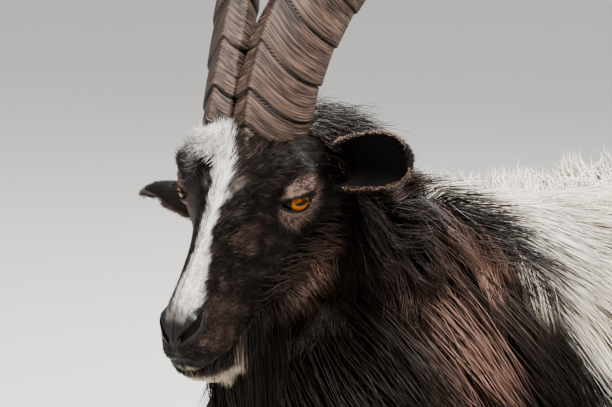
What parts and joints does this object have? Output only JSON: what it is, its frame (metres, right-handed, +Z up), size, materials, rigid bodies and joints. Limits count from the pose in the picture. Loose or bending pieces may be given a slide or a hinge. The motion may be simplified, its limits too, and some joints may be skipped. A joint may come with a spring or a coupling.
{
  "type": "feral billy goat",
  "caption": "Feral billy goat standing still, long coat black before and white behind, with ringed horns that sweep back over the shoulders.",
  "frame": {"origin": "on the ground under the middle of the goat's overall box, level with the soles", "axes": "+X forward, the way the body faces; +Y to the goat's left; +Z up"},
  "size_m": [1.1544, 0.592, 1.0697],
  "materials": {
    "fur_black": "long hair, soft sheen",
    "fur_white": "long hair, soft sheen",
    "horn": "weathered, ringed and finely ridged",
    "hoof_horn": "worn",
    "eye": "wet and glossy"
  },
  "bodies": {
    "root": {"ear_left": "fur_black", "ear_right": "fur_black", "eye_left": "eye", "eye_right": "eye", "forehoof_left": "hoof_horn", "forehoof_right": "hoof_horn", "foreleg_left": "fur_black", "foreleg_right": "fur_black", "head": "fur_black", "hindhoof_left": "hoof_horn", "hindhoof_right": "hoof_horn", "hindleg_left": "fur_white", "hindleg_right": "fur_white", "horn_left_base": "horn", "horn_left_tip": "horn", "horn_right_base": "horn", "horn_right_tip": "horn", "neck": "fur_black", "tail": "fur_white", "torso": "fur_white"}
  },
  "joints": []
}
